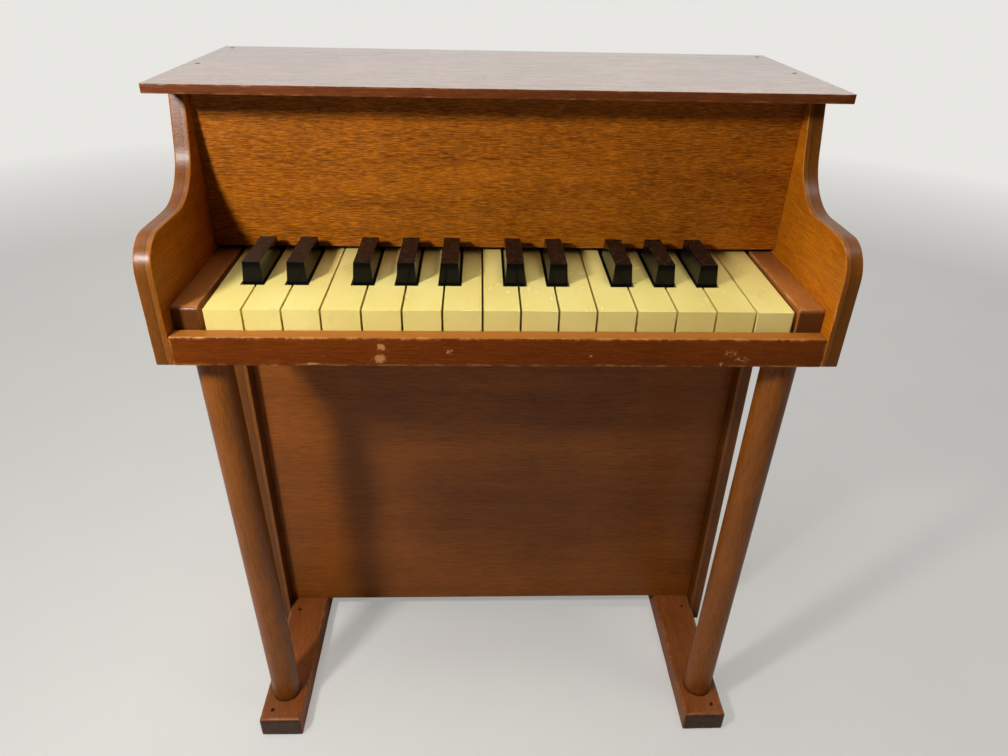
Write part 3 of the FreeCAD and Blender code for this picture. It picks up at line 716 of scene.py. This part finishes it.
dust = blend(tree, span(tree, grit, 0.35, 0.65), tone(206, 176, 164), tone(240, 218, 208))
colour = blend(tree, film, colour, dust)
dents = speckle(tree, place, (230, 120, 230), detail=1.0, rough=0.5, seed=41.0)
pits = times(tree, span(tree, dents, 0.76, 0.8, 0.0, 0.8), top_face)
plug(tree, shader.inputs["Base Color"], blend(tree, pits, colour, tone(92, 58, 44)))
clear = times(tree, top_face, span(tree, film, 0.0, 0.6, 1.0, 0.7))
plug(tree, shader.inputs["Coat Weight"], span(tree, clear, 0.0, 1.0, 0.06, 1.0))
shader.inputs["Coat Roughness"].default_value = 0.16
satin = shader.inputs["Roughness"].links[0].from_socket
dull_below = span(tree, upward, -0.9, -0.4, 0.9, 0.0)
plug(tree, shader.inputs["Roughness"], calc(tree, "MAXIMUM", satin, dull_below))
ripple = speckle(tree, place, stretched("x", 70, 300), detail=4.0, rough=0.65, seed=43.0)
wavy = add(tree, "Bump", {"Strength": 0.5, "Distance": 0.3 * MM, "Height": ripple})
plug(tree, shader.inputs["Coat Normal"], wavy.outputs[0])

low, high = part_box("lid")
lid_chips = [(141 * MM, low.y, 12 * MM, 1.2 * MM, 1), (64.6 * MM, low.y, 14 * MM, 0.7 * MM, 1),
             (-147 * MM, low.y, 16 * MM, 0.7 * MM, 1), (-30 * MM, low.y, 20 * MM, 0.5 * MM, 1),
             (185 * MM, low.y, 10 * MM, 0.8 * MM, 1), (-196 * MM, low.y, 9 * MM, 0.8 * MM, 1)]
outline = rectangle(low.x, low.y, high.x, high.y)
lid_board = board("lid_board", outline, "z", low.z, high.z,
                  ease=0.2 * MM, seed=16.0, chips=lid_chips, corner=0.9 * MM)
lid_board.data.materials.append(lid_finish)
lid_nails = [(nail_x, nail_y, high.z) for nail_x in (-LID_NAILS_OUT, LID_NAILS_OUT) for nail_y in LID_NAILS]
sink_nails(lid_board, lid_nails, nail_finish, "lid_nail")
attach(lid_board, "case")
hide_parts("lid")

# Studio: a wide pale floor that fades into the pale surroundings, so that no horizon shows.
# A small lamp high on the left gives the crisp shadows, wide soft lamps overhead and behind fill them,
# and a narrow lamp high on the right brightens the last keys.
PALE = tone(232, 231, 227)
FLOOR_RADIUS = 12.0
world = bpy.data.worlds.new("pale_room")
bpy.context.scene.world = world
world.use_nodes = True
tree = world.node_tree
tree.nodes.clear()


def seen_directly(tree, path):
    """1 for rays from the eye or by a mirror-like path, 0 for rays that carry light."""
    seen = calc(tree, "MAXIMUM", path.outputs["Is Camera Ray"], path.outputs["Is Glossy Ray"])
    return calc(tree, "MAXIMUM", seen, path.outputs["Is Transmission Ray"])


fill = add(tree, "Background", {"Color": (1.0, 0.985, 0.96, 1.0), "Strength": 0.035})
backdrop = add(tree, "Background", {"Color": PALE, "Strength": 1.0})
seen = seen_directly(tree, add(tree, "LightPath", {}))
mixed = add(tree, "MixShader", {0: seen, 1: fill.outputs[0], 2: backdrop.outputs[0]})
add(tree, "OutputWorld", {"Surface": mixed.outputs[0]})

floor_finish, tree, shader = new_finish("pale_floor")
place = on_piece(tree)
paper = speckle(tree, place, (9, 9, 9), detail=3.0, rough=0.5)
plug(tree, shader.inputs["Base Color"], blend(tree, paper, tone(222, 220, 216), tone(230, 228, 224)))
shader.inputs["Roughness"].default_value = 0.9
shader.inputs["Specular IOR Level"].default_value = 0.1
glow = add(tree, "Emission", {"Color": PALE, "Strength": 1.0})
reach = add(tree, "VectorMath", {0: place}, operation="LENGTH").outputs["Value"]
path = add(tree, "LightPath", {})
far = times(tree, span(tree, reach, 0.75, 2.2), seen_directly(tree, path))
lifted = calc(tree, "MAXIMUM", far, times(tree, path.outputs["Is Camera Ray"], 0.4))
mixed = add(tree, "MixShader", {0: lifted, 1: shader.outputs[0], 2: glow.outputs[0]})
plug(tree, tree.nodes["Material Output"].inputs["Surface"], mixed.outputs[0])
bm = bmesh.new()
bmesh.ops.create_circle(bm, cap_ends=True, segments=96, radius=FLOOR_RADIUS)
floor = piece_from(bm, "floor")
floor.data.materials.append(floor_finish)
floor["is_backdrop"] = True


def lamp(name, place, aim, size, power, colour):
    """Round soft lamp that looks at a point and isn't seen itself."""
    light = bpy.data.lights.new(name, "AREA")
    light.shape = "DISK"
    light.size = size
    light.energy = power
    light.color = colour
    holder = bpy.data.objects.new(name, light)
    holder.location = place
    holder.rotation_euler = (Vector(aim) - Vector(place)).to_track_quat("-Z", "Y").to_euler()
    holder.visible_camera = False
    bpy.context.scene.collection.objects.link(holder)
    return holder


lamp("key_lamp", place=(-0.38, -0.43, 0.69), aim=(-0.08, -0.03, 0.36),
     size=0.08, power=3.5, colour=(1.0, 0.98, 0.95))
lamp("overhead", place=(-0.5, -0.1, 3.0), aim=(0.0, -0.1, 0.3),
     size=2.0, power=33.0, colour=(1.0, 0.99, 0.97))
right_spot = lamp("right_spot", place=(0.42, -0.24, 1.25), aim=(0.14, -0.06, 0.4),
                  size=0.25, power=0.11, colour=(1.0, 0.98, 0.93))
right_spot.data.spread = math.radians(34)
back_fill = lamp("back_fill", place=(0.0, 1.9, 1.2), aim=(0.0, 0.1, 0.3),
                 size=1.6, power=9.0, colour=(1.0, 0.98, 0.96))
back_fill.visible_glossy = False

# Flag: a dull black cloth on a stand in front of the piano, out of the camera's view.
# It only keeps the pale floor out of the reflections in the upright boards.
flag_finish, tree, shader = new_finish("black_cloth")
weave = speckle(tree, on_piece(tree), (40, 40, 40), detail=2.0, rough=0.5)
plug(tree, shader.inputs["Base Color"], blend(tree, weave, tone(14, 13, 12), tone(24, 22, 20)))
shader.inputs["Roughness"].default_value = 1.0


def black_sheet(name, place, half_width, half_height, columns, rows):
    """Upright sheet of the black cloth that neither the camera nor soft light sees."""
    bm = bmesh.new()
    bmesh.ops.create_grid(bm, x_segments=columns, y_segments=rows, size=1.0)
    stand = Matrix.Translation(place) @ Matrix.Rotation(math.pi / 2, 4, "X")
    bm.transform(stand @ Matrix.Diagonal((half_width, half_height, 1.0, 1.0)))
    sheet = piece_from(bm, name)
    sheet.data.materials.append(flag_finish)
    sheet.visible_camera = False
    sheet.visible_diffuse = False
    return sheet


flag = black_sheet("flag", (0.0, -0.60, 1.52), half_width=1.6, half_height=1.5, columns=8, rows=6)
flag.visible_shadow = False
flag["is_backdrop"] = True

# Card: a small black card on a stand between the key lamp and the space under the keys.
# It keeps the lamp's direct light off the middle of the knee panel.
card = black_sheet("card", (-0.162, -0.22, 0.432), half_width=0.077, half_height=0.026, columns=4, rows=2)
card.visible_glossy = False
card.visible_transmission = False
card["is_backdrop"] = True

# Camera: stands close in front of the piano and a little higher than its lid, looking down at it.
# Its place, lens and turn were fitted to the corners of the boards and the keys.
camera_data = bpy.data.cameras.new("camera")
camera_data.sensor_width = 36.0
camera_data.sensor_fit = "HORIZONTAL"
camera_data.lens = 26.4447
camera_data.clip_start = 0.01
camera = bpy.data.objects.new("camera", camera_data)
pan = Matrix.Rotation(math.radians(-2.30), 4, "Z")
tilt = Matrix.Rotation(math.radians(59.30), 4, "X")
roll = Matrix.Rotation(math.radians(1.31), 4, "Z")
camera.matrix_world = Matrix.Translation((-0.01419, -0.50337, 0.57837)) @ pan @ tilt @ roll
bpy.context.scene.collection.objects.link(camera)
bpy.context.scene.camera = camera
bpy.context.scene.view_settings.view_transform = "Standard"

low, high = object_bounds()
